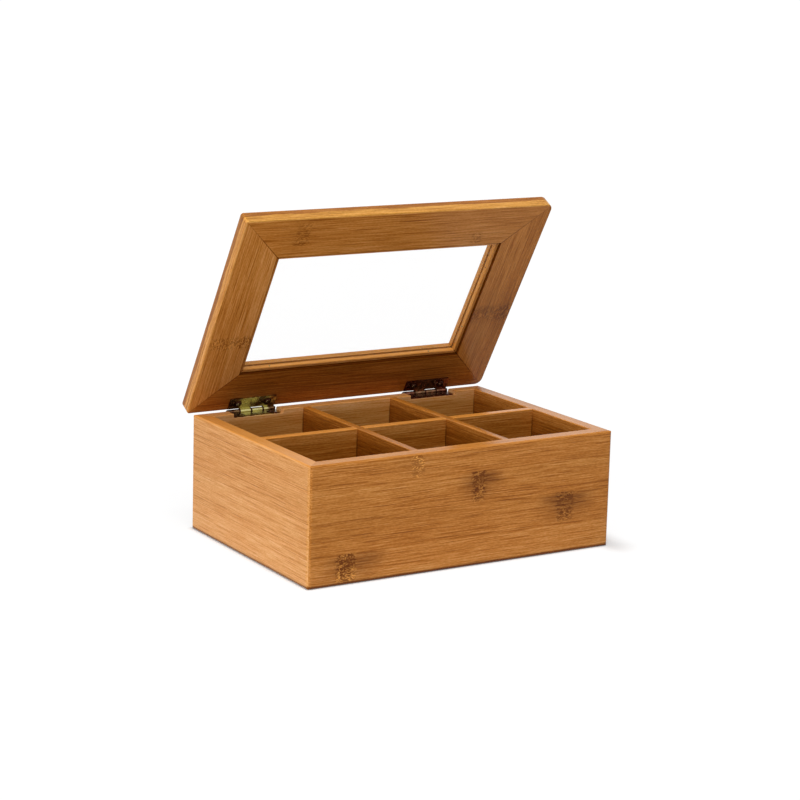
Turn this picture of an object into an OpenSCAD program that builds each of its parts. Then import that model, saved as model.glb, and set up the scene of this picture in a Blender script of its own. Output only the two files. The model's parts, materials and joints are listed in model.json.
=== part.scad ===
// Bamboo keeper with six compartments and a hinged lid that has a clear window.
// X runs along the width, the front faces -Y, and Z is up.
// The origin is the middle of the underside. The lid stands open by lid_angle.
// The lid is drawn closed and then turned about the axis of its two hinge pins.

/* [Box] */
// Outside width of the box
box_w = 220; // [190:1:260]
// Outside depth of the box, front to back
box_d = 152; // [130:1:190]
// Height of the box without its lid
box_h = 75; // [60:1:100]
// Thickness of the four walls
wall_t = 10; // [9.5:0.5:13]
// Thickness of the base panel
base_t = 5; // [3:0.5:8]
// How far the base panel reaches under each wall
base_seat = 5; // [3:0.5:7]
// Gap between the edge of the base panel and its rebate
base_play = 0.1; // [0.05:0.05:0.3]
// Radius of the upright corners
corner_r = 2.5; // [1:0.5:4]
// Radius of the outer top edges of the walls
edge_r = 1.8; // [0.4:0.1:2.4]
// Radius of the outer lower edges of the walls
low_edge_r = 1.5; // [0.3:0.1:2]

/* [Dividers] */
// Thickness of the divider that runs along the width
long_divider_t = 5.5; // [4:0.5:8]
// Thickness of the two dividers that run front to back
cross_divider_t = 5; // [4:0.5:8]
// Middle of the left cross divider, from the middle of the box
left_divider_x = -31.5; // [-45:0.5:-20]
// Middle of the right cross divider, from the middle of the box
right_divider_x = 35; // [20:0.5:45]
// Radius of the top edges around the compartments
rim_r = 0.6; // [0.3:0.1:1]
// Gap on each side of a divider in the slot of the divider that it crosses
lap_play = 0.1; // [0.05:0.05:0.3]

/* [Lid] */
// How far the lid stands open, 0 is closed
lid_angle = 60; // [0:1:180]
// Thickness of the lid frame
lid_t = 9.5; // [8.5:0.5:14]
// Overhang of the lid past the left and right walls
lid_side = 3; // [0:0.5:6]
// Overhang of the lid past the front wall
lid_front = 2.5; // [0:0.5:6]
// Overhang of the lid past the rear face, in front of the hinge barrels
lid_back = 0.4; // [0:0.1:0.6]
// Gap between the closed lid and the walls
lid_gap = 0.2; // [0.1:0.05:0.5]
// Width of the flat underside of each rail
rail_w = 30; // [24:1:36]
// Radius of the two left corners of the lid, seen from above
lid_left_r = 2; // [2:0.5:10]
// Radius of the two right corners of the lid, seen from above
lid_right_r = 5; // [2:0.5:10]
// Radius of the round-over along the outer top edges of the lid
lid_round_r = 1.5; // [1:0.1:1.8]
// Radius of the outer lower edges of the lid
lid_low_r = 0.5; // [0.3:0.1:1]
// Radius of the outer edge around the window
lip_edge_r = 0.8; // [0.3:0.1:1]

/* [Window] */
// How far the lip around the window reaches over the pane
pane_seat = 2.6; // [2:0.2:5]
// Thickness of the lip that the pane lies against
lip_t = 3.5; // [2:0.5:4]
// Thickness of the clear pane
pane_t = 1.8; // [1:0.2:2.4]
// Gap between the edge of the pane and the rails
pane_play = 0.4; // [0.2:0.1:0.8]
// Width of the beads that hold the pane
bead_w = 2.4; // [1.6:0.2:4]
// How far the beads lie below the flat underside of the rails
bead_recess = 1.4; // [0:0.1:1.6]
// Gap between a bead and the rail beside it
bead_play = 0.2; // [0.1:0.05:0.3]
// Radius of the exposed edge of the beads
bead_edge_r = 0.7; // [0.3:0.1:1]
// Diameter of the brads that pin the beads
brad_d = 1; // [0.8:0.1:1.4]
// Length of the brads
brad_l = 8; // [6:0.5:12]
// Distance from each end of a bead to its brad
brad_inset = 22; // [12:1:34]

/* [Hinges] */
// Length of a hinge along its pin
hinge_l = 34; // [26:1:44]
// Distance from the end of the box to the middle of the hinge
hinge_inset = 43; // [36:1:60]
// Distance from the pin axis to the free edge of a leaf
leaf_w = 10.3; // [9:0.1:10.6]
// Thickness of the leaves
leaf_t = 0.9; // [0.6:0.1:1.1]
// Radius of the free corners of the leaves
leaf_corner_r = 1; // [0.4:0.2:2]
// Outside diameter of the knuckles
barrel_d = 3; // [2.6:0.1:3.6]
// Diameter of the hinge pin
pin_d = 1.5; // [1:0.1:1.6]
// Distance from the rear face of the box out to the pin axis
pin_out = 1.3; // [1.3:0.1:2]
// Number of knuckles, shared turn by turn between the two leaves
knuckles = 4; // [3:1:6]
// Gap between one knuckle and the next
knuckle_gap = 0.2; // [0.1:0.05:0.4]
// Gap between the knuckles and the leaf that they pass
knuckle_clear = 0.4; // [0.3:0.1:0.8]
// Gap around the pin in the knuckles
pin_fit = 0.05; // [0.02:0.01:0.08]
// Diameter of the peened heads on the pin
pin_head_d = 2.4; // [1.8:0.1:2.5]
// Thickness of the peened heads on the pin
pin_head_t = 0.6; // [0.4:0.1:1]
// Gap between a head of the pin and the end of the knuckles
pin_head_gap = 0.1; // [0.05:0.05:0.2]
// Gap at each end of the hinge in its recess
recess_play = 1.2; // [1:0.1:2]
// Radius of the lower corners of the recess
recess_r = 1; // [0.5:0.1:1]

/* [Screws] */
// Diameter of the screw shank
screw_d = 2; // [1.6:0.1:2.4]
// Length of a screw under the face of its leaf
screw_l = 7; // [5:0.5:8]
// Diameter of the countersunk head
screw_head_d = 4; // [3.4:0.1:4.6]
// Height of the raised crown on the head
screw_crown = 0.3; // [0.1:0.05:0.4]
// Distance between the two screws of a leaf
screw_pitch = 21.6; // [14:0.2:24]
// Distance from the pin axis to the screws
screw_reach = 5.9; // [5:0.1:7]
// Length of the pointed end of a screw
screw_tip_l = 2; // [1:0.5:3]
// Diameter of the blunt tip of a screw
screw_tip_d = 0.5; // [0.3:0.1:0.8]
// Length of the cross recess in a head
drive_l = 2.2; // [1.6:0.1:2.6]
// Width and depth of the cross recess in a head
drive_w = 0.5; // [0.3:0.1:0.7]
// Gap around the screws and brads in wood and metal
screw_fit = 0.05; // [0.02:0.01:0.1]

/* [Hidden] */
$fn = 48;
// Cutting solids run past the faces that they open by this much
past = 1;

bamboo = [0.80, 0.55, 0.30];
bamboo_dark = [0.62, 0.38, 0.16];
bronze = [0.30, 0.22, 0.13];
clear_pane = [0.85, 0.92, 0.95, 0.35];

inner_w = box_w - 2 * wall_t;
inner_d = box_d - 2 * wall_t;
divider_h = box_h - base_t;
// Where each column and each row of compartments begins and ends
columns = [
    [-inner_w / 2, left_divider_x - cross_divider_t / 2],
    [left_divider_x + cross_divider_t / 2, right_divider_x - cross_divider_t / 2],
    [right_divider_x + cross_divider_t / 2, inner_w / 2],
];
rows = [[-inner_d / 2, -long_divider_t / 2], [long_divider_t / 2, inner_d / 2]];

lid_w = box_w + 2 * lid_side;
lid_d = box_d + lid_front + lid_back;
// Middle of the lid, and the level of its underside, when it is closed
lid_y = (lid_back - lid_front) / 2;
lid_z = box_h + lid_gap;
// The rails hold the pane over this width, from their outer edge to the edge of the window
frame_w = rail_w + pane_seat;
rebate_w = lid_w - 2 * rail_w;
rebate_d = lid_d - 2 * rail_w;
rebate_h = lid_t - lip_t;
pane_z = rebate_h - pane_t;
bead_h = pane_z - bead_recess;
bead_mid_z = bead_recess + bead_h / 2;
bead_span_w = rebate_w - 2 * bead_play;
bead_span_d = rebate_d - 2 * bead_play;

barrel_r = barrel_d / 2;
// The closed hinge fills the recess in the back wall and the gap under the lid
recess_h = barrel_d - lid_gap;
pin_y = box_d / 2 + pin_out;
pin_z = box_h - recess_h + barrel_r;
hinge_x = box_w / 2 - hinge_inset;
knuckle_l = (hinge_l - (knuckles - 1) * knuckle_gap) / knuckles;

// Two-dimensional outlines

// A w by h rectangle with its own radius at the two upper and at the two lower corners
module rounded_bar(w, h, upper_r, lower_r) {
    translate([0, lower_r]) square([w, h - upper_r - lower_r]);
    translate([upper_r, lower_r]) square([w - 2 * upper_r, h - lower_r]);
    translate([lower_r, 0]) square([w - 2 * lower_r, h - upper_r]);
    for (x = [upper_r, w - upper_r]) translate([x, h - upper_r]) circle(upper_r);
    for (x = [lower_r, w - lower_r]) translate([x, lower_r]) circle(lower_r);
}

module rounded_rect(w, d, r) {
    square([w - 2 * r, d], center = true);
    square([w, d - 2 * r], center = true);
    for (x = [-1, 1], y = [-1, 1]) {
        translate([x * (w / 2 - r), y * (d / 2 - r)]) circle(r);
    }
}

// Bars and where they go

// A bar along X with its outer face on y = 0 and its ends cut at 45 degrees.
// The child is its cross-section, from the outer face inwards and from the underside up.
module mitred_bar(length, width, height) {
    intersection() {
        rotate([90, 0, 90]) linear_extrude(length, center = true) children();
        translate([0, 0, -past]) linear_extrude(height + 2 * past) polygon([
            [-length / 2, 0],
            [length / 2, 0],
            [length / 2 - width, width],
            [-length / 2 + width, width],
        ]);
    }
}

function is_end(side) = side == "left" || side == "right";
function turn_of(side) = side == "front" ? 0 : side == "right" ? 90 : side == "back" ? 180 : 270;

// Turns a bar that is drawn for the front on to one side of a w by d rectangle
module on_side(side, w, d) {
    rotate(turn_of(side)) translate([0, is_end(side) ? -w / 2 : -d / 2, 0]) children();
}

// The box

// A wall's cross-section: the outer face at x = 0, with the rebate for the base panel inside.
// The inner top edge is left square for rim_cuts.
module wall_section() {
    difference() {
        union() {
            rounded_bar(wall_t, box_h, edge_r, low_edge_r);
            translate([edge_r, base_t]) square([wall_t - edge_r, box_h - base_t]);
        }
        translate([wall_t - base_seat, -past]) square([base_seat + past, base_t + past]);
    }
}

// Rounds a top edge that runs along X at y = 0, over the length of one compartment.
// The tops of the dividers run flat into the tops of the walls, so the edge stops there.
module rim_cut(span) {
    translate([span[0] - rim_r, -rim_r, box_h - rim_r]) rotate([90, 0, 90]) {
        linear_extrude(span[1] - span[0] + 2 * rim_r) difference() {
            square(rim_r + past);
            circle(rim_r);
        }
    }
}

module rim_cuts(side) {
    if (is_end(side)) {
        on_side(side, inner_w, inner_d) for (span = rows) rim_cut(span);
    } else {
        mirror([0, side == "back" ? 1 : 0, 0]) translate([0, -inner_d / 2, 0]) {
            for (span = columns) rim_cut(span);
        }
    }
}

module wall(side) {
    difference() {
        intersection() {
            on_side(side, box_w, box_d) {
                mitred_bar(is_end(side) ? box_d : box_w, wall_t, box_h) wall_section();
            }
            linear_extrude(box_h) rounded_rect(box_w, box_d, corner_r);
        }
        rim_cuts(side);
    }
}

module front_wall() {
    color(bamboo) wall("front");
}

module left_wall() {
    color(bamboo) wall("left");
}

module right_wall() {
    color(bamboo) wall("right");
}

// The recess for one closed hinge, open to the top and through the wall
module hinge_recess() {
    w = hinge_l + 2 * recess_play;
    floor_z = box_h - recess_h;
    translate([0, box_d / 2 + past, 0]) rotate([90, 0, 0]) linear_extrude(wall_t + 2 * past) {
        translate([-w / 2, floor_z + recess_r]) square([w, recess_h]);
        translate([-w / 2 + recess_r, floor_z]) square([w - 2 * recess_r, recess_h]);
        for (x = [-1, 1]) translate([x * (w / 2 - recess_r), floor_z + recess_r]) circle(recess_r);
    }
}

module back_wall() {
    color(bamboo) difference() {
        wall("back");
        for (x = [-hinge_x, hinge_x]) {
            translate([x, 0, 0]) hinge_recess();
            at_hinge(x) at_screws() pilot_hole();
        }
    }
}

module base_panel() {
    w = inner_w + 2 * base_seat - 2 * base_play;
    d = inner_d + 2 * base_seat - 2 * base_play;
    color(bamboo_dark) translate([-w / 2, -d / 2, 0]) cube([w, d, base_t]);
}

// The dividers cross with a slot of half their height each

module divider(length, t) {
    translate([0, -t / 2, base_t]) rotate([90, 0, 90]) linear_extrude(length, center = true) {
        square([t, divider_h - rim_r]);
        translate([rim_r, 0]) square([t - 2 * rim_r, divider_h]);
        for (x = [rim_r, t - rim_r]) translate([x, divider_h - rim_r]) circle(rim_r);
    }
}

// The slot for a divider that is t thick: in the upper half or in the lower half
module lap_slot(t, wide, upper) {
    w = t + 2 * lap_play;
    z = upper ? base_t + divider_h / 2 : base_t - past;
    translate([-w / 2, -wide / 2 - past, z]) cube([w, wide + 2 * past, divider_h / 2 + past]);
}

module long_divider() {
    color(bamboo) difference() {
        divider(inner_w, long_divider_t);
        for (x = [left_divider_x, right_divider_x]) {
            translate([x, 0, 0]) lap_slot(cross_divider_t, long_divider_t, true);
        }
    }
}

module cross_divider() {
    rotate(90) difference() {
        divider(inner_d, cross_divider_t);
        lap_slot(long_divider_t, cross_divider_t, false);
    }
}

module left_cross_divider() {
    color(bamboo) translate([left_divider_x, 0, 0]) cross_divider();
}

module right_cross_divider() {
    color(bamboo) translate([right_divider_x, 0, 0]) cross_divider();
}

// The lid

// Turns the closed lid about the hinge pins
module opened() {
    translate([0, pin_y, pin_z]) rotate([-lid_angle, 0, 0]) translate([0, -pin_y, -pin_z]) children();
}

// Moves what is drawn about the middle of the lid's underside to the closed lid
module in_lid() {
    translate([0, lid_y, lid_z]) children();
}

module lid_slice(span) {
    translate([-span / 2, 0]) rounded_bar(span, lid_t, lid_round_r, lid_low_r);
}

// The right half of a slice
module half_slice(span) {
    intersection() {
        lid_slice(span);
        square([span / 2, lid_t]);
    }
}

// The right half of the lid's outer form, with the round-over carried round its two corners
module lid_half_form(r) {
    rotate([90, 0, 90]) linear_extrude(lid_w / 2 - r) lid_slice(lid_d);
    rotate([90, 0, 0]) linear_extrude(lid_d - 2 * r, center = true) half_slice(lid_w);
    for (y = [-1, 1]) {
        translate([lid_w / 2 - r, y * (lid_d / 2 - r), 0]) rotate_extrude() half_slice(2 * r);
    }
}

module lid_form() {
    lid_half_form(lid_right_r);
    mirror([1, 0, 0]) lid_half_form(lid_left_r);
}

// A rail's cross-section: the thick rail and the lip that reaches over the pane
module rail_section() {
    square([rail_w, lid_t]);
    translate([0, rebate_h]) square([frame_w - lip_edge_r, lip_t]);
    translate([0, rebate_h]) square([frame_w, lip_t - lip_edge_r]);
    translate([frame_w - lip_edge_r, lid_t - lip_edge_r]) circle(lip_edge_r);
}

module rail(side) {
    difference() {
        in_lid() intersection() {
            lid_form();
            on_side(side, lid_w, lid_d) {
                mitred_bar(is_end(side) ? lid_d : lid_w, frame_w, lid_t) rail_section();
            }
        }
        in_lid() at_brads(side) brad_hole();
    }
}

module lid_front_rail() {
    color(bamboo) opened() rail("front");
}

module lid_left_rail() {
    color(bamboo) opened() rail("left");
}

module lid_right_rail() {
    color(bamboo) opened() rail("right");
}

module lid_back_rail() {
    color(bamboo) opened() difference() {
        rail("back");
        for (x = [-hinge_x, hinge_x]) {
            at_hinge(x) lid_half() at_screws() pilot_hole();
        }
    }
}

module window_pane() {
    w = rebate_w - 2 * pane_play;
    d = rebate_d - 2 * pane_play;
    color(clear_pane) opened() in_lid() translate([-w / 2, -d / 2, pane_z]) cube([w, d, pane_t]);
}

// A bead's cross-section: its lower inner edge is rounded
module bead_section() {
    translate([0, bead_recess]) {
        square([bead_w - bead_edge_r, bead_h]);
        translate([0, bead_edge_r]) square([bead_w, bead_h - bead_edge_r]);
        translate([bead_w - bead_edge_r, bead_edge_r]) circle(bead_edge_r);
    }
}

module bead(side) {
    length = is_end(side) ? bead_span_d : bead_span_w;
    opened() in_lid() difference() {
        on_side(side, bead_span_w, bead_span_d) mitred_bar(length, bead_w, lid_t) bead_section();
        at_brads(side) brad_hole();
    }
}

module front_bead() {
    color(bamboo) bead("front");
}

module back_bead() {
    color(bamboo) bead("back");
}

module left_bead() {
    color(bamboo) bead("left");
}

module right_bead() {
    color(bamboo) bead("right");
}

// Places what is drawn along +Y from the face of a bead, at both brads of one bead
module at_brads(side) {
    length = is_end(side) ? bead_span_d : bead_span_w;
    on_side(side, bead_span_w, bead_span_d) {
        for (x = [-1, 1]) translate([x * (length / 2 - brad_inset), bead_w, bead_mid_z]) children();
    }
}

module brad_hole() {
    translate([0, past, 0]) rotate([90, 0, 0]) {
        cylinder(h = brad_l + 2 * past, d = brad_d + 2 * screw_fit);
    }
}

module bead_brads() {
    color(bronze) opened() in_lid() {
        for (side = ["front", "back", "left", "right"]) {
            at_brads(side) rotate([90, 0, 0]) cylinder(h = brad_l, d = brad_d);
        }
    }
}

// The hinges, drawn about the pin axis with the box in front of them

module at_hinge(x) {
    translate([x, pin_y, pin_z]) children();
}

// The lid's half of a closed hinge is the box's half turned over
module lid_half() {
    mirror([0, 0, 1]) children();
}

module at_screws() {
    for (x = [-1, 1]) translate([x * screw_pitch / 2, -screw_reach, -barrel_r + leaf_t]) children();
}

module leaf_plate() {
    r = leaf_corner_r;
    translate([0, 0, -barrel_r]) linear_extrude(leaf_t) {
        translate([-hinge_l / 2, -leaf_w + r]) square([hinge_l, leaf_w - r]);
        translate([-hinge_l / 2 + r, -leaf_w]) square([hinge_l - 2 * r, leaf_w]);
        for (x = [-1, 1]) translate([x * (hinge_l / 2 - r), -leaf_w + r]) circle(r);
    }
}

// Left end of one knuckle
function knuckle_x(i) = -hinge_l / 2 + i * (knuckle_l + knuckle_gap);

// One leaf: first is 0 or 1, the number of its first knuckle
module leaf(first) {
    clear_r = barrel_r + knuckle_clear;
    difference() {
        union() {
            leaf_plate();
            for (i = [first : 2 : knuckles - 1]) {
                translate([knuckle_x(i), 0, 0]) rotate([0, 90, 0]) cylinder(h = knuckle_l, r = barrel_r);
            }
        }
        for (i = [1 - first : 2 : knuckles - 1]) {
            from = i == 0 ? knuckle_x(0) - past : knuckle_x(i) - knuckle_gap;
            to = i == knuckles - 1 ? hinge_l / 2 + past : knuckle_x(i) + knuckle_l + knuckle_gap;
            translate([from, -clear_r, -2 * barrel_r]) cube([to - from, 2 * clear_r, 4 * barrel_r]);
        }
        translate([-hinge_l / 2 - past, 0, 0]) rotate([0, 90, 0]) {
            cylinder(h = hinge_l + 2 * past, d = pin_d + 2 * pin_fit);
        }
        at_screws() countersink();
    }
}

module hinge_pin() {
    head_x = hinge_l / 2 + pin_head_gap;
    rotate([0, 90, 0]) {
        cylinder(h = 2 * head_x, d = pin_d, center = true);
        for (end = [0, 1]) {
            mirror([0, 0, end]) translate([0, 0, head_x]) cylinder(h = pin_head_t, d = pin_head_d);
        }
    }
}

module left_hinge_body_leaf() {
    color(bronze) at_hinge(-hinge_x) leaf(0);
}

module left_hinge_lid_leaf() {
    color(bronze) opened() at_hinge(-hinge_x) lid_half() leaf(1);
}

module left_hinge_pin() {
    color(bronze) at_hinge(-hinge_x) hinge_pin();
}

module right_hinge_body_leaf() {
    color(bronze) at_hinge(hinge_x) leaf(0);
}

module right_hinge_lid_leaf() {
    color(bronze) opened() at_hinge(hinge_x) lid_half() leaf(1);
}

module right_hinge_pin() {
    color(bronze) at_hinge(hinge_x) hinge_pin();
}

// The screws point down from the face of their leaf, which is z = 0

module countersink() {
    translate([0, 0, -leaf_t]) {
        cylinder(h = leaf_t, d1 = screw_d + 2 * screw_fit, d2 = screw_head_d + 2 * screw_fit);
    }
    translate([0, 0, -leaf_t - past]) cylinder(h = 2 * past, d = screw_d + 2 * screw_fit);
    cylinder(h = past, d = screw_head_d + 2 * screw_fit);
}

module pilot_hole() {
    translate([0, 0, -screw_l - screw_fit]) cylinder(h = screw_l, d = screw_d + 2 * screw_fit);
}

module screw() {
    difference() {
        union() {
            translate([0, 0, -leaf_t]) cylinder(h = leaf_t, d1 = screw_d, d2 = screw_head_d);
            cylinder(h = screw_crown, d1 = screw_head_d, d2 = screw_head_d - 2 * screw_crown);
            translate([0, 0, -screw_l + screw_tip_l]) cylinder(h = screw_l - screw_tip_l, d = screw_d);
            translate([0, 0, -screw_l]) cylinder(h = screw_tip_l, d1 = screw_tip_d, d2 = screw_d);
        }
        for (a = [0, 90]) rotate(a) {
            translate([-drive_l / 2, -drive_w / 2, -drive_w]) cube([drive_l, drive_w, drive_w + past]);
        }
    }
}

module body_leaf_screws() {
    color(bronze) for (x = [-hinge_x, hinge_x]) at_hinge(x) at_screws() screw();
}

module lid_leaf_screws() {
    color(bronze) opened() for (x = [-hinge_x, hinge_x]) at_hinge(x) lid_half() at_screws() screw();
}

front_wall();
back_wall();
left_wall();
right_wall();
base_panel();
long_divider();
left_cross_divider();
right_cross_divider();
lid_front_rail();
lid_back_rail();
lid_left_rail();
lid_right_rail();
window_pane();
front_bead();
back_bead();
left_bead();
right_bead();
bead_brads();
left_hinge_body_leaf();
left_hinge_lid_leaf();
left_hinge_pin();
right_hinge_body_leaf();
right_hinge_lid_leaf();
right_hinge_pin();
body_leaf_screws();
lid_leaf_screws();
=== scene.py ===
import json
import math
from collections import namedtuple

import bpy
from mathutils import Matrix, Vector

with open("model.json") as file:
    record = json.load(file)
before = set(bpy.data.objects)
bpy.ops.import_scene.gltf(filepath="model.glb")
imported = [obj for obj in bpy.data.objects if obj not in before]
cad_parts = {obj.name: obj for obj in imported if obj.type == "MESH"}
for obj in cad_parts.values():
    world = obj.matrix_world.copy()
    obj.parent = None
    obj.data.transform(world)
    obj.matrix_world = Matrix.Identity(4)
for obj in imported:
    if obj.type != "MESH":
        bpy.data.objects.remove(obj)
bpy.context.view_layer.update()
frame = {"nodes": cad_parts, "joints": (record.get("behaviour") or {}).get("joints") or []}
nodes = frame["nodes"]

# The only joint is the lid's. The lid's own frame is the row frame turned back about the hinge pins
# until the lid is closed, by OPEN.
LID = frame["joints"][0]
PIN = Vector(LID["pos_m"])
OPEN = math.radians(-LID["range_deg"][0])
CLOSE = Matrix.Rotation(OPEN, 3, "X")

MM_PER_M = 1000.0

Extent = namedtuple("Extent", "low high")


def extent(node, lid=False):
    """The lowest and the highest x, y and z of a piece, in millimetres. Where lid is true, they are
    taken with the lid closed."""
    places = [vertex.co for vertex in nodes[node].data.vertices]
    if lid:
        places = [CLOSE @ (place - PIN) + PIN for place in places]
    low, high = (Vector([pick(axis) for axis in zip(*places)]) for pick in (min, max))
    return Extent(MM_PER_M * low, MM_PER_M * high)


# Shader graph helper. A value is a number, a tuple or an output socket.

# The Mix node's sockets for colours, which share their names with those for its other types.
MIX_FACTOR, MIX_A, MIX_B, MIX_RESULT = 0, 6, 7, 2

# Depth of all relief, in metres.
RELIEF = 0.0001


class Graph:
    def __init__(self, tree):
        self.tree = tree

    def put(self, socket, value):
        if isinstance(value, bpy.types.NodeSocket):
            self.tree.links.new(value, socket)
        else:
            socket.default_value = value

    def node(self, kind, inputs=None, **settings):
        made = self.tree.nodes.new(kind)
        for name, value in settings.items():
            setattr(made, name, value)
        for key, value in (inputs or {}).items():
            self.put(made.inputs[key], value)
        return made

    def group(self, tree, inputs):
        return self.node("ShaderNodeGroup", inputs, node_tree=tree).outputs

    def place(self):
        """The place at rest in the row frame, in metres. It stays with a piece that moves."""
        return self.node("ShaderNodeTexCoord").outputs["Object"]

    def math(self, op, *values):
        return self.node("ShaderNodeMath", dict(enumerate(values)), operation=op).outputs[0]

    def add(self, a, b):
        return self.math("ADD", a, b)

    def sub(self, a, b):
        return self.math("SUBTRACT", a, b)

    def mul(self, a, b):
        return self.math("MULTIPLY", a, b)

    def div(self, a, b):
        return self.math("DIVIDE", a, b)

    def least(self, a, b):
        return self.math("MINIMUM", a, b)

    def most(self, a, b):
        return self.math("MAXIMUM", a, b)

    def absolute(self, a):
        return self.math("ABSOLUTE", a)

    def from_joint(self, value, spacing):
        """Distance to the nearest joint of a row with that spacing. value counts in spacings."""
        return self.mul(self.math("PINGPONG", value, 0.5), spacing)

    def split(self, vector):
        return self.node("ShaderNodeSeparateXYZ", {0: vector}).outputs

    def join(self, x, y, z):
        return self.node("ShaderNodeCombineXYZ", {0: x, 1: y, 2: z}).outputs[0]

    def scaled(self, vector, x, y, z):
        values = {0: vector, 1: (x, y, z)}
        return self.node("ShaderNodeVectorMath", values, operation="MULTIPLY").outputs[0]

    def in_mm(self, vector):
        return self.scaled(vector, MM_PER_M, MM_PER_M, MM_PER_M)

    def reach(self, x, y):
        """Length of a flat vector."""
        flat = self.join(x, y, 0.0)
        return self.node("ShaderNodeVectorMath", {0: flat}, operation="LENGTH").outputs["Value"]

    def noise(self, vector, detail=2.0, rough=0.5, scale=1.0, bend=0.0):
        values = {"Vector": vector, "Scale": scale, "Detail": detail, "Roughness": rough,
                  "Distortion": bend}
        return self.node("ShaderNodeTexNoise", values).outputs[0]

    def off_middle(self, value, amount):
        """A noise value turned into a swing of amount about zero."""
        return self.mul(self.sub(value, 0.5), amount)

    def smooth(self, value, start, end):
        """0 at start, 1 at end, and smooth between them. start may be the higher of the two."""
        falls = start > end
        values = {
            "Value": value,
            "From Min": min(start, end),
            "From Max": max(start, end),
            "To Min": 1.0 if falls else 0.0,
            "To Max": 0.0 if falls else 1.0,
        }
        return self.node("ShaderNodeMapRange", values, interpolation_type="SMOOTHSTEP").outputs[0]

    def mix(self, factor, a, b, blend="MIX"):
        values = {MIX_FACTOR: factor, MIX_A: a, MIX_B: b}
        made = self.node("ShaderNodeMix", values, data_type="RGBA", blend_type=blend)
        return made.outputs[MIX_RESULT]

    def ramp(self, factor, stops):
        made = self.node("ShaderNodeValToRGB", {0: factor})
        line = made.color_ramp
        line.elements[0].position, line.elements[0].color = stops[0]
        line.elements[1].position, line.elements[1].color = stops[-1]
        for place, colour in stops[1:-1]:
            line.elements.new(place).color = colour
        return made.outputs[0]

    def bump(self, height, strength):
        values = {"Strength": strength, "Distance": RELIEF, "Height": height}
        return self.node("ShaderNodeBump", values).outputs[0]


def rgb(r, g, b):
    """A colour written as the 0 to 255 values of a screen."""
    def linear(c):
        c /= 255
        return c / 12.92 if c <= 0.04045 else ((c + 0.055) / 1.055) ** 2.4
    return (linear(r), linear(g), linear(b), 1.0)


def new_material(name):
    made = bpy.data.materials.new(name)
    made.use_nodes = True
    made.node_tree.nodes.clear()
    graph = Graph(made.node_tree)
    shader = graph.node("ShaderNodeBsdfPrincipled")
    out = graph.node("ShaderNodeOutputMaterial", {"Surface": shader.outputs[0]})
    return made, graph, shader, out


def new_group(name, inputs, outputs):
    tree = bpy.data.node_groups.new(name, "ShaderNodeTree")
    for socket, kind in inputs.items():
        tree.interface.new_socket(socket, in_out="INPUT", socket_type=kind)
    for socket, kind in outputs.items():
        tree.interface.new_socket(socket, in_out="OUTPUT", socket_type=kind)
    graph = Graph(tree)
    given = graph.node("NodeGroupInput").outputs
    out = graph.node("NodeGroupOutput").inputs
    return tree, graph, given, out


def dress(node, material):
    slots = nodes[node].data.materials
    if len(slots) == 0:
        slots.append(material)
    for i in range(len(slots)):
        slots[i] = material


FLOAT, VECTOR = "NodeSocketFloat", "NodeSocketVector"


# Bamboo. Places are in millimetres in a board's own frame: u along the fibres, v across the
# strips that the board is glued from, w through its thickness.

# Thickness of one layer of strips, and how far along the culm two strips' grain can lie apart.
LAYER, STAGGER = 5.0, 900.0

# Noise in the grain: waves per millimetre along and across the fibres.
BENDS = (0.010, 0.03)
BANDS = (0.006, 0.11)
STREAKS = (0.014, 1.00)
FIBRES = (0.045, 2.00)
PORES = (0.450, 1.70)
DASHES = (0.028, 1.45)
WARM_PATCHES = (0.006, 0.06)

# How far the bands, streaks, fibres and pores, and the chance of each strip, sway the shade.
BAND_SWAY, STREAK_SWAY, FIBRE_SWAY, PORE_SWAY, STRIP_SWAY = 0.30, 0.30, 1.00, 0.36, 0.14

# How much a dark dash, a glue line between strips and one between layers darken the shade.
DASH_DARK, STRIP_LINE_DARK, LAYER_LINE_DARK = -0.24, -0.12, -0.06


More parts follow.
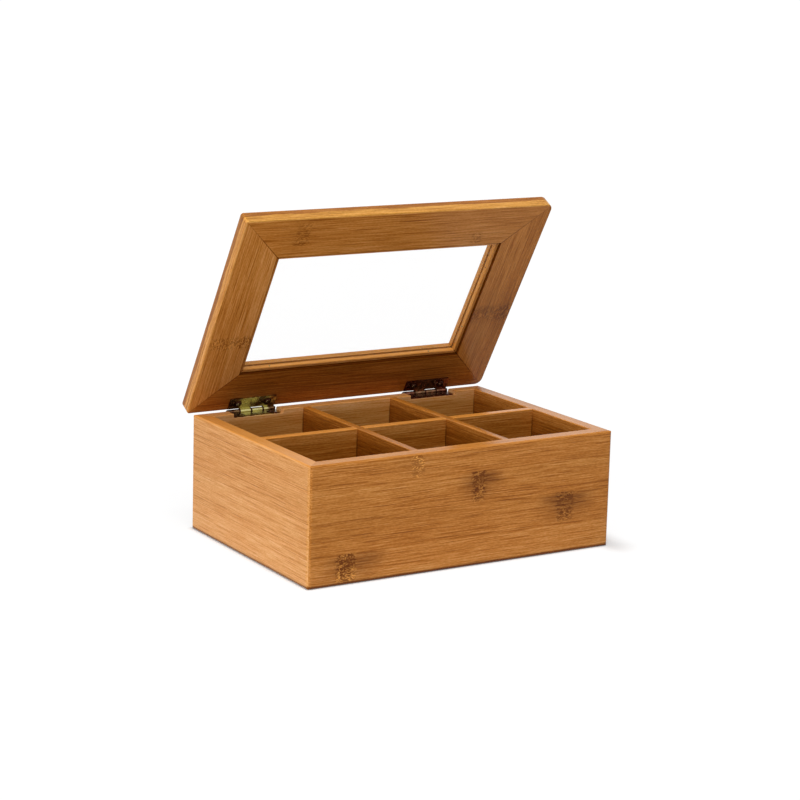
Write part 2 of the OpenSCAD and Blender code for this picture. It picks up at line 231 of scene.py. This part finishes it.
def bamboo_group():
    tree, g, given, out = new_group(
        "bamboo",
        {"Place": VECTOR, "Seed": FLOAT, "Strip": FLOAT, "Offset": FLOAT},
        {"Shade": FLOAT, "Warm": FLOAT, "Height": FLOAT},
    )
    seed = given["Seed"]
    u, v, w = g.split(given["Place"])

    # The fibres wander from the straight by up to a millimetre.
    along, aside = BENDS
    bends = g.noise(g.join(g.mul(u, along), g.mul(v, aside), g.add(g.mul(w, aside), seed)), 1.0)
    v_bent = g.add(v, g.off_middle(bends, 2.0))

    # One random number for each strip and layer.
    strips = g.div(g.sub(v, given["Offset"]), given["Strip"])
    layers = g.div(w, LAYER)
    cell = g.join(g.math("FLOOR", strips), g.math("FLOOR", layers), seed)
    cast = g.node("ShaderNodeTexWhiteNoise", {"Vector": cell}, noise_dimensions="3D")
    chance = cast.outputs["Value"]
    shift = g.split(cast.outputs["Color"])[1]
    place = g.join(g.add(u, g.mul(shift, STAGGER)), v_bent, g.add(w, g.mul(seed, 37.0)))

    def grain(waves, detail=2.0, rough=0.5):
        along, aside = waves
        return g.noise(g.scaled(place, along, aside, aside), detail, rough)

    streaks, pores = grain(STREAKS), grain(PORES, 1.0)
    fibres = grain(FIBRES, 2.0, 0.6)
    dashes = g.smooth(grain(DASHES, 1.0), 0.58, 0.66)
    shade = g.off_middle(grain(BANDS), BAND_SWAY)
    sways = (streaks, STREAK_SWAY), (fibres, FIBRE_SWAY), (pores, PORE_SWAY), (chance, STRIP_SWAY)
    for noise, sway in sways:
        shade = g.add(shade, g.off_middle(noise, sway))

    # A hairline where two strips meet, and a fainter one between the layers.
    strip_line = g.smooth(g.from_joint(strips, given["Strip"]), 0.40, 0.05)
    layer_line = g.smooth(g.from_joint(layers, LAYER), 0.25, 0.03)
    darks = (dashes, DASH_DARK), (strip_line, STRIP_LINE_DARK), (layer_line, LAYER_LINE_DARK)
    for mask, amount in darks:
        shade = g.add(shade, g.mul(mask, amount))
    g.put(out["Shade"], shade)
    g.put(out["Warm"], grain(WARM_PATCHES, 1.0))
    g.put(out["Height"], g.add(g.mul(fibres, 0.7), g.mul(dashes, -0.5)))
    return tree


# A scar where a leaf grew round the culm: its place along the fibres, the edges of its strip,
# its half width, the strength of its dark and of its light threads, how many half widths its
# stain leans along the fibres, and the strength of the stain.
Scar = namedtuple("Scar", "u low high half dark light skew stain")


def scar_group():
    """Knotted fibres across one strip, with a stain beside them."""
    tree, g, given, out = new_group(
        "culm_node",
        {"Place": VECTOR, "U": FLOAT, "Low": FLOAT, "High": FLOAT, "Half width": FLOAT,
         "Skew": FLOAT, "Stain": FLOAT},
        {"Dark": FLOAT, "Light": FLOAT},
    )
    at = given["U"]
    u, v, _ = g.split(given["Place"])

    def noise(along, aside, *look, **more):
        return g.noise(g.join(g.mul(u, along), g.mul(v, aside), at), *look, **more)

    ragged = noise(0.15, 0.80, 2.0, 0.6)
    squiggles = noise(0.30, 0.62, 1.0, 0.5, bend=1.8)
    threads = noise(0.045, 0.55, 2.0, 0.6)

    # Distance from the scar's middle in half widths, with ragged sides, and from its strip's edges.
    off = g.div(g.add(g.sub(u, at), g.off_middle(ragged, 7.0)), given["Half width"])
    from_low = g.sub(v, given["Low"])
    from_high = g.sub(given["High"], v)
    inside = g.mul(g.smooth(from_low, -0.5, 3.5), g.smooth(from_high, -0.8, 0.6))
    near_high = g.smooth(from_high, 17.0, 4.0)

    # The knots fill the core, and are fainter away from the high edge.
    core = g.mul(g.smooth(g.absolute(off), 1.25, 0.55), inside)
    knots = g.add(g.mul(g.smooth(squiggles, 0.46, 0.58), 0.9), 0.1)
    knots = g.mul(knots, g.add(g.mul(near_high, 0.35), 0.65))

    # The stain reaches about four half widths from the core in threads. It leans, and is strongest,
    # near the high edge, but stops short of the edge itself.
    leant = g.sub(off, g.mul(given["Skew"], near_high))
    stain = g.mul(g.smooth(g.absolute(leant), 4.2, 0.6), inside)
    stain = g.mul(stain, g.add(g.mul(g.smooth(threads, 0.30, 0.60), 0.55), 0.45))
    stain = g.mul(stain, g.add(g.mul(near_high, 0.75), 0.25))
    stain = g.mul(stain, g.add(g.mul(g.smooth(from_high, 0.0, 4.0), 0.6), 0.4))

    dark = g.add(g.mul(core, knots), g.mul(stain, given["Stain"]))
    g.put(out["Dark"], g.least(dark, 1.0))
    g.put(out["Light"], g.mul(core, g.smooth(squiggles, 0.45, 0.36)))
    return tree


BAMBOO, SCAR_GROUP = bamboo_group(), scar_group()

# Palette, from the deepest fibre to the palest, then the gold of light threads, of the window's edge
# and of the painted light where the pane lies, and the colour of the painted sheen on the rim.
DEEP, DARK, MID, PALE, CREAM = (rgb(*c) for c in (
    (138, 78, 22), (178, 110, 40), (204, 137, 66), (225, 165, 100), (240, 190, 138),
))
SHADES = [(0.0, DEEP), (0.28, DARK), (0.5, MID), (0.74, PALE), (1.0, CREAM)]
GOLD = rgb(250, 178, 88)
RIM_SHEEN = rgb(244, 160, 64)

# What a colour is multiplied by where it is darker (scars, glue lines and painted shade), in a warm
# patch, under the painted highlight on the lid's edges and in the painted shade inside the box.
DARKENED = (0.30, 0.20, 0.03, 1.0)
YELLOWED = (1.0, 0.93, 0.84, 1.0)
PALER = (1.58, 2.05, 2.50, 1.0)
INSIDE_SHADE = (0.72, 0.63, 0.40, 1.0)

# The box's rim, whose edges get a painted sheen, and the inner faces of its walls, in millimetres.
RIM_Z = extent("back_wall").high.z
INNER_X, INNER_Y = extent("right_wall").low.x, extent("back_wall").low.y

# Places of the inner corners along the boards that run left to right and front to back, and how
# far from a corner its dark line, partly glue and partly painted shade, can be seen.
LONG_CORNERS = [
    -INNER_X,
    *(face.x for face in extent("left_cross_divider")),
    *(face.x for face in extent("right_cross_divider")),
    INNER_X,
]
CROSS_CORNERS = [-INNER_Y, *(face.y for face in extent("long_divider")), INNER_Y]
CORNER_LINE_REACH = 0.8

# Outline of the closed lid.
SIDE_RAIL = extent("lid_right_rail", lid=True)
LID_SIDE = SIDE_RAIL.high.x
LID_FRONT = extent("lid_front_rail", lid=True).low.y
LID_BACK = extent("lid_back_rail", lid=True).high.y

# How far in from that outline the rails end at the window, and beside the beads, across a groove.
LIP = LID_SIDE - SIDE_RAIL.low.x
GROOVE = 0.2
RAIL = LID_SIDE - extent("right_bead", lid=True).high.x - GROOVE

# Heights in the closed lid: its top, where the pane lies, and where the darker part of its edges
# begins, above their painted highlight.
LID_TOP = SIDE_RAIL.high.z
SEAT = extent("window_pane", lid=True).high.z
LID_LAYER = LID_TOP - 4.5


def tinted(g, colour, amount, by=DARKENED):
    return g.mix(amount, colour, g.mix(1.0, colour, by, "MULTIPLY"))


def lid_space(g, place):
    """Turns a place in the row frame into a place in the closed lid."""
    values = {"Vector": place, "Rotation": (OPEN, 0.0, 0.0), "Location": PIN - CLOSE @ PIN}
    return g.node("ShaderNodeMapping", values).outputs[0]


def lid_colour(g, colour, xyz, board, dark_edge, edge_highlight):
    """What is seen on the lid: a painted highlight and a darker part on its edges, glue lines along its
    mitres, painted shade in the groove beside the beads, a paler window edge and painted light on the
    wood that the pane lies on.
    """
    x, y, z = xyz
    from_side = g.sub(LID_SIDE, g.absolute(x))
    from_end = g.least(g.sub(y, LID_FRONT), g.sub(LID_BACK, y))
    inset = g.least(from_side, from_end)
    # On the outer edges a painted highlight lies below a wavy line, and the part above it is darker.
    wave = g.off_middle(g.noise(g.scaled(board, 0.06, 0.06, 0.06), 2.0), 3.0)
    layer = g.smooth(g.add(z, wave), LID_LAYER - 0.3, LID_LAYER + 0.3)
    rim = g.smooth(inset, 1.6, 0.6)
    colour = tinted(g, colour, g.mul(g.mul(rim, g.sub(1.0, layer)), edge_highlight), PALER)
    colour = tinted(g, colour, g.mul(g.mul(rim, layer), dark_edge))
    # The glue line of the mitres is darker towards the window.
    glue = g.smooth(g.absolute(g.sub(from_side, from_end)), 0.60, 0.10)
    colour = tinted(g, colour, g.mul(glue, g.smooth(inset, -8.0, RAIL)))
    # Painted shade in the groove beside the beads.
    groove_shade = g.smooth(g.absolute(g.sub(inset, RAIL + 0.5 * GROOVE)), 0.60, 0.25)
    colour = tinted(g, colour, g.mul(groove_shade, g.smooth(z, LID_LAYER + 0.6, LID_LAYER)))
    # The window's own edge is paler, and the wood that the pane lies on gets painted light against the
    # shade in its slot.
    lip = g.mul(g.smooth(inset, LIP - 0.4, LIP), g.smooth(z, LID_TOP, LID_TOP - 0.8))
    colour = g.mix(g.mul(lip, 0.35), colour, GOLD)
    seat_light = g.smooth(g.absolute(g.sub(z, SEAT)), 0.4, 0.1)
    return g.mix(g.mul(g.mul(seat_light, g.smooth(inset, RAIL, RAIL + 0.5)), 0.9), colour, GOLD)


def box_colour(g, colour, xyz, along, corners, rim_sheen):
    """What is seen on the box: a painted sheen on the rim, painted shade at the foot and deeper inside,
    and dark inner corners, partly glue lines and partly painted shade.
    """
    x, y, z = xyz
    # Painted sheen on the top of the walls.
    sheen_crest = g.smooth(z, RIM_Z - 0.9, RIM_Z - 0.1)
    colour = g.mix(g.mul(sheen_crest, rim_sheen), colour, RIM_SHEEN)
    # Painted shade at the foot of the walls, darker towards the bottom.
    colour = tinted(g, colour, g.smooth(z, 2.6, 1.2))
    # Painted shade inside the box, deeper below the rim.
    within = g.least(g.sub(INNER_X + 0.5, g.absolute(x)), g.sub(INNER_Y + 0.5, g.absolute(y)))
    inside = g.mul(g.smooth(within, 0.0, 0.5), g.smooth(z, RIM_Z - 1.0, RIM_Z - 9.0))
    colour = tinted(g, colour, inside, INSIDE_SHADE)
    # Dark inner corners, partly glue lines and partly painted shade.
    nearest = CORNER_LINE_REACH
    for corner in corners:
        nearest = g.least(nearest, g.absolute(g.sub(along, corner)))
    return tinted(g, colour, g.mul(g.smooth(nearest, CORNER_LINE_REACH, 0.2), g.mul(inside, 0.7)))


def bamboo(name, axes, seed, strip=20.3, offset=-1.0, base=0.5, spread=1.0, marks=(), lid=False,
           dark_edge=0.35, edge_highlight=0.0, rim_sheen=0.25):
    """One board's material. axes names the row frame's axes that are u, v and w. Its strips are
    strip wide from offset on. base and spread are the middle and the swing of its shade."""
    made, g, shader, _ = new_material(name)
    place = g.place()
    if lid:
        place = lid_space(g, place)
    xyz = g.split(g.in_mm(place))
    board = g.join(*(xyz["XYZ".index(a)] for a in axes))
    wood = g.group(BAMBOO, {"Place": board, "Seed": seed, "Strip": strip, "Offset": offset})
    colour = g.ramp(g.add(g.mul(wood["Shade"], spread), base), SHADES)
    colour = tinted(g, colour, g.mul(g.smooth(wood["Warm"], 0.35, 0.65), 0.5), YELLOWED)
    height = wood["Height"]
    for mark in marks:
        scar = g.group(SCAR_GROUP, {
            "Place": board, "U": mark.u, "Low": mark.low, "High": mark.high,
            "Half width": mark.half, "Skew": mark.skew, "Stain": mark.stain,
        })
        colour = g.mix(g.mul(scar["Light"], mark.light), colour, GOLD)
        colour = tinted(g, colour, g.mul(scar["Dark"], mark.dark))
        height = g.add(height, g.mul(scar["Dark"], -0.3 * mark.dark))
    if lid:
        colour = lid_colour(g, colour, xyz, board, dark_edge, edge_highlight)
    else:
        corners = LONG_CORNERS if axes[0] == "X" else CROSS_CORNERS
        colour = box_colour(g, colour, xyz, g.split(board)[0], corners, rim_sheen)
    g.put(shader.inputs["Base Color"], colour)
    g.put(shader.inputs["Normal"], g.bump(height, 0.2))
    g.put(shader.inputs["Roughness"], g.add(g.mul(wood["Height"], -0.12), 0.25))
    shader.inputs["Specular IOR Level"].default_value = 0.12
    return made


# The box.

FRONT_MARKS = (
    Scar(9.5, 39.2, 59.5, 5.0, 1.00, 0.40, 0.4, 0.85),
    Scar(75.0, 18.9, 39.2, 6.5, 0.88, 0.25, 0.2, 0.95),
    Scar(-35.0, 59.5, 74.0, 4.5, 0.45, 1.10, -0.9, 0.40),
    Scar(-84.0, 0.5, 18.9, 7.0, 1.00, 1.10, 0.9, 0.85),
)
BACK_MARKS = (Scar(-22.0, 19.5, 39.8, 6.0, 0.7, 0.2, 1.0, 0.8),)
RIGHT_MARKS = (Scar(-15.0, 39.5, 59.8, 6.0, 0.7, 0.2, -1.0, 0.8),)
# The cross dividers' low bases are partly painted shade of the compartments.
BOARDS = {
    "front_wall": dict(axes="XZY", seed=1.0, offset=-1.4, base=0.41, rim_sheen=0.30, marks=FRONT_MARKS),
    "back_wall": dict(axes="XZY", seed=2.0, base=0.76, marks=BACK_MARKS),
    "left_wall": dict(axes="YZX", seed=3.0, base=0.69, spread=0.9, rim_sheen=0.55),
    "right_wall": dict(axes="YZX", seed=4.0, base=0.38, marks=RIGHT_MARKS),
    "base_panel": dict(axes="XYZ", seed=5.0, strip=18.0, base=0.36),
    "long_divider": dict(axes="XZY", seed=6.0, base=0.45, rim_sheen=0.60),
    "left_cross_divider": dict(axes="YZX", seed=7.0, base=0.13),
    "right_cross_divider": dict(axes="YZX", seed=8.0, base=0.26),
}
for node, look in BOARDS.items():
    dress(node, bamboo("bamboo_" + node, **look))

# The lid, in the frame of the closed lid. Each rail has a bead beside it, cut from narrower strips.

FRONT_RAIL_MARKS = (
    Scar(-70.0, -76.0, -57.0, 5.5, 0.55, 0.2, 0.5, 0.2),
    Scar(61.7, -60.0, -50.0, 4.0, 0.50, 0.2, 0.0, 0.1),
)
LEFT_RAIL_MARKS = (Scar(19.0, -113.0, -81.0, 5.0, 0.75, 0.4, 0.0, 0.1),)
RIGHT_RAIL_MARKS = (Scar(12.0, 80.5, 113.0, 7.0, 0.80, 0.1, 0.0, 0.3),)
RAILS = {
    "front": dict(axes="XYZ", seed=9.0, offset=-78.5, base=0.44, dark_edge=0.10, edge_highlight=0.95,
                  marks=FRONT_RAIL_MARKS),
    "back": dict(axes="XYZ", seed=10.0, offset=-4.0, base=0.18),
    "left": dict(axes="YXZ", seed=11.0, offset=-113.0, base=0.50, dark_edge=0.50, edge_highlight=0.30,
                 marks=LEFT_RAIL_MARKS),
    "right": dict(axes="YXZ", seed=12.0, offset=-113.0, base=0.42, marks=RIGHT_RAIL_MARKS),
}
for number, (side, look) in enumerate(RAILS.items()):
    rail = bamboo("bamboo_lid_%s_rail" % side, strip=17.0, spread=0.85, lid=True, **look)
    dress("lid_%s_rail" % side, rail)
    bead = bamboo("bamboo_%s_bead" % side, look["axes"], 13.0 + number, strip=9.0, base=0.54, lid=True)
    dress("%s_bead" % side, bead)


# Antique bronze: a dark skin with olive green in places, partly wear and partly a painted reflection.

SCREW_GLINT, RUST_AND_SHADE, BROWN, OLIVE, PLUM = (rgb(*c) for c in (
    (222, 212, 194), (70, 38, 28), (136, 106, 72), (204, 196, 134), (142, 90, 72),
))

# How many knuckles a hinge has, the gap between two of them and the radius of a screw's head. They
# and the places below are in millimetres, for the closed hinge.
KNUCKLES, KNUCKLE_GAP, HEAD_R = 4, 0.2, 2.0

# The middle of a hinge, its screws from that middle, and the spacing of its knuckles.
LEAF, SCREWS = extent("right_hinge_body_leaf"), extent("body_leaf_screws")
HINGE_X = (LEAF.low.x + LEAF.high.x) / 2
SCREW_X, SCREW_Y = SCREWS.high.x - HEAD_R - HINGE_X, (SCREWS.low.y + SCREWS.high.y) / 2
KNUCKLE = (LEAF.high.x - LEAF.low.x + KNUCKLE_GAP) / KNUCKLES

# Waves per metre of the worn clouds and of the specks in the metal.
CLOUDS, SPECKS = 120.0, 450.0


def bronze(name, middle, wear_and_reflection, lid=False, screws=False):
    """One piece's metal. middle is the paler of the skin's two colours, and how much olive it shows,
    partly wear and partly painted reflection, is given from 0 to 1.
    """
    made, g, shader, _ = new_material(name)
    place = g.place()
    x, y, z = g.split(g.in_mm(lid_space(g, place) if lid else place))
    clouds = g.noise(place, scale=CLOUDS)
    specks = g.noise(place, scale=SPECKS)
    # Olive at the middle of the leaf, partly wear and partly painted reflection, and painted shade
    # round the screws and where two knuckles meet.
    along = g.sub(g.absolute(x), HINGE_X)
    middle_part = g.smooth(g.absolute(along), 15.0, 5.0)
    worn_and_reflecting = g.mul(g.smooth(g.add(clouds, g.mul(middle_part, 0.25)), 0.52, 0.72), wear_and_reflection)
    colour = g.mix(worn_and_reflecting, g.ramp(specks, [(0.3, RUST_AND_SHADE), (0.7, middle)]), OLIVE)
    from_screw = g.reach(g.sub(g.absolute(along), SCREW_X), g.sub(y, SCREW_Y))
    if screws:
        # A screw head has a painted highlight at its centre, and is darker round it.
        colour = g.mix(g.smooth(from_screw, 1.05, 0.80), RUST_AND_SHADE, SCREW_GLINT)
    else:
        # Painted shade round the screw heads.
        colour = g.mix(g.smooth(from_screw, 3.0, 2.7), colour, RUST_AND_SHADE)
    # Painted shade where two knuckles meet, near the pin.
    from_axis = g.reach(g.sub(y, MM_PER_M * PIN.y), g.sub(z, MM_PER_M * PIN.z))
    from_seam = g.from_joint(g.div(along, KNUCKLE), KNUCKLE)
    seam_shade = g.mul(g.smooth(from_seam, 0.85, 0.45), g.smooth(from_axis, 2.2, 1.7))
    g.put(shader.inputs["Base Color"], g.mix(seam_shade, colour, RUST_AND_SHADE))
    g.put(shader.inputs["Roughness"], g.add(g.mul(specks, 0.20), 0.14))
    g.put(shader.inputs["Normal"], g.bump(specks, 0.15))
    shader.inputs["Metallic"].default_value = 1.0
    return made


for half, lid in (("body", False), ("lid", True)):
    # The two hinges differ by painted reflection: an olive middle on the left, a plum skin on the
    # right.
    for side, middle, wear_and_reflection in (("left", BROWN, 0.90), ("right", PLUM, 0.10)):
        leaf = bronze("bronze_%s_%s_leaf" % (side, half), middle, wear_and_reflection, lid)
        dress("%s_hinge_%s_leaf" % (side, half), leaf)
    dress("%s_leaf_screws" % half, bronze("bronze_%s_screws" % half, BROWN, 0.3, lid, screws=True))
pin_metal = bronze("bronze_pins", BROWN, 0.3)
for node in ("left_hinge_pin", "right_hinge_pin", "bead_brads"):
    dress(node, pin_metal)


# The pane.

# How far the pane's faces are drawn in, in metres, so that the wood that they touch shows through.
PANE_ROOM = 0.00005


def clear_pane():
    made, g, shader, _ = new_material("clear_pane")
    ripple = g.noise(g.place(), scale=14.0)
    g.put(shader.inputs["Base Color"], g.mix(ripple, rgb(236, 242, 244), rgb(250, 252, 252)))
    g.put(shader.inputs["Roughness"], g.add(g.mul(ripple, 0.02), 0.02))
    shader.inputs["Alpha"].default_value = 0.03
    return made


def leave_room(node, room):
    """Draws the faces of a box-shaped node in by room."""
    weld = nodes[node].modifiers.new("weld", "WELD")
    weld.merge_threshold = 0.1 * room
    shrink = nodes[node].modifiers.new("shrink", "DISPLACE")
    shrink.mid_level = 0.0
    shrink.strength = -room * math.sqrt(3)


dress("window_pane", clear_pane())
leave_room("window_pane", PANE_ROOM)


# Floor, sky, lamps and camera.

# What the lamps make of the floor, where 1 is white, and the level that it is made up to.
FLOOR_LEVEL, WHITE = 0.83, 1.04

# The floor's own colours, in the open and with a painted shadow at its side.
OPEN_FLOOR, PAINTED_SHADOW_FLOOR = (0.92, 0.92, 0.92, 1.0), (0.66, 0.66, 0.66, 1.0)

# Half the box's width and depth, half the floor's side, and how far it lies below the box, in metres.
BOX_X, BOX_Y = extent("right_wall").high.x / MM_PER_M, extent("back_wall").high.y / MM_PER_M
FLOOR_HALF, FLOOR_DROP = 20.0, 0.0002


def seen_rays(g):
    """1 for rays that show the background: from the camera, in a gloss and through the pane."""
    rays = g.node("ShaderNodeLightPath").outputs
    return g.most(rays["Is Camera Ray"], g.most(rays["Is Glossy Ray"], rays["Is Transmission Ray"]))


def floor():
    mesh = bpy.data.meshes.new("floor")
    signs = ((-1, -1), (1, -1), (1, 1), (-1, 1))
    mesh.from_pydata([(FLOOR_HALF * a, FLOOR_HALF * b, 0) for a, b in signs], [], [(0, 1, 2, 3)])
    made = bpy.data.objects.new("floor", mesh)
    bpy.context.scene.collection.objects.link(made)
    made.location.z = -FLOOR_DROP
    material, g, shader, out = new_material("floor")
    shader.inputs["Roughness"].default_value = 0.9
    shader.inputs["Specular IOR Level"].default_value = 0.1
    x, y, _ = g.split(g.place())
    # How much the floor shows its own shade: most where the box stands, farther out behind it and at
    # its right, where its shadow falls, a little round about, and not at all far away.
    gap = g.reach(g.most(g.sub(g.absolute(x), BOX_X), 0.0), g.most(g.sub(g.absolute(y), BOX_Y), 0.0))
    behind = g.mul(g.smooth(y, BOX_Y - 0.016, BOX_Y + 0.002), g.smooth(x, -BOX_X, 0.07 - BOX_X))
    shaded_side = g.most(g.smooth(x, BOX_X - 0.015, BOX_X + 0.002), behind)
    beside = g.mul(g.smooth(gap, 0.030, 0.0), shaded_side)
    own = g.most(g.smooth(gap, 0.004, 0.0), beside)
    own = g.most(own, g.mul(g.smooth(gap, 0.45, 0.05), 0.22))
    # Beside the box, where its shadow falls, the floor is painted darker as a painted shadow.
    g.put(shader.inputs["Base Color"], g.mix(beside, OPEN_FLOOR, PAINTED_SHADOW_FLOOR))
    # The rest is made up with white, so that the floor out of the shadow stays white.
    seen = seen_rays(g)
    black = g.node("ShaderNodeEmission", {"Color": (0, 0, 0, 1), "Strength": 0.0}).outputs[0]
    hidden = g.mul(seen, g.sub(1.0, own))
    kept = g.node("ShaderNodeMixShader", {0: hidden, 1: shader.outputs[0], 2: black}).outputs[0]
    lack = g.mul(seen, g.sub(WHITE, g.mul(own, FLOOR_LEVEL)))
    white = g.node("ShaderNodeEmission", {"Color": (1, 1, 1, 1), "Strength": lack}).outputs[0]
    g.put(out.inputs["Surface"], g.node("ShaderNodeAddShader", {0: kept, 1: white}).outputs[0])
    made.data.materials.append(material)


def sky(ambient):
    """White where it is seen, and ambient as a light."""
    world = bpy.data.worlds.new("sky")
    bpy.context.scene.world = world
    world.use_nodes = True
    world.node_tree.nodes.clear()
    g = Graph(world.node_tree)
    strength = g.add(g.mul(seen_rays(g), 1.0 - ambient), ambient)
    light = g.node("ShaderNodeBackground", {"Color": (1, 1, 1, 1), "Strength": strength})
    g.node("ShaderNodeOutputWorld", {"Surface": light.outputs[0]})


def softbox(name, place, size, power, in_gloss=True):
    """A square lamp at place, turned to the middle of the box."""
    lamp = bpy.data.lights.new(name, "AREA")
    lamp.shape = "SQUARE"
    lamp.size = size
    lamp.energy = power
    made = bpy.data.objects.new(name, lamp)
    bpy.context.scene.collection.objects.link(made)
    made.visible_glossy = in_gloss
    made.location = place
    aim = Vector((0, 0, 0.06)) - Vector(place)
    made.rotation_euler = aim.to_track_quat("-Z", "Y").to_euler()


def camera():
    """The camera that the photograph's edges give, in metres, degrees and widths of the photograph."""
    place = Vector((-0.74616, -1.18019, 0.39346))
    yaw, pitch, roll = (math.radians(angle) for angle in (30.266, 10.635, 1.227))
    photo_width = 800
    lens, centre = 2250.56 / photo_width, (324.9 / photo_width, 333.61 / photo_width)
    ahead = Vector((math.sin(yaw) * math.cos(pitch), math.cos(yaw) * math.cos(pitch), -math.sin(pitch)))
    level = Vector((math.cos(yaw), -math.sin(yaw), 0))
    upright = level.cross(ahead)
    right = math.cos(roll) * level + math.sin(roll) * upright
    up = -math.sin(roll) * level + math.cos(roll) * upright
    data = bpy.data.cameras.new("camera")
    data.sensor_fit = "HORIZONTAL"
    data.lens = data.sensor_width * lens
    data.shift_x = 0.5 - centre[0]
    data.shift_y = centre[1] - 0.5
    data.clip_start = 0.01
    made = bpy.data.objects.new("camera", data)
    bpy.context.scene.collection.objects.link(made)
    turn = Matrix((right, up, -ahead)).transposed().to_4x4()
    made.matrix_world = Matrix.Translation(place) @ turn
    bpy.context.scene.camera = made


floor()
sky(ambient=0.13)
# The low lamp would lie as a white glare along the box's rim when seen from the other side.
softbox("side", (-1.70, -0.10, 0.28), 0.8, 14.6, in_gloss=False)
softbox("front", (-0.35, -0.95, 1.60), 1.0, 18.6)
softbox("overhead", (0.0, -0.30, 1.90), 1.0, 9.0)
camera()
bpy.context.scene.view_settings.view_transform = "Standard"
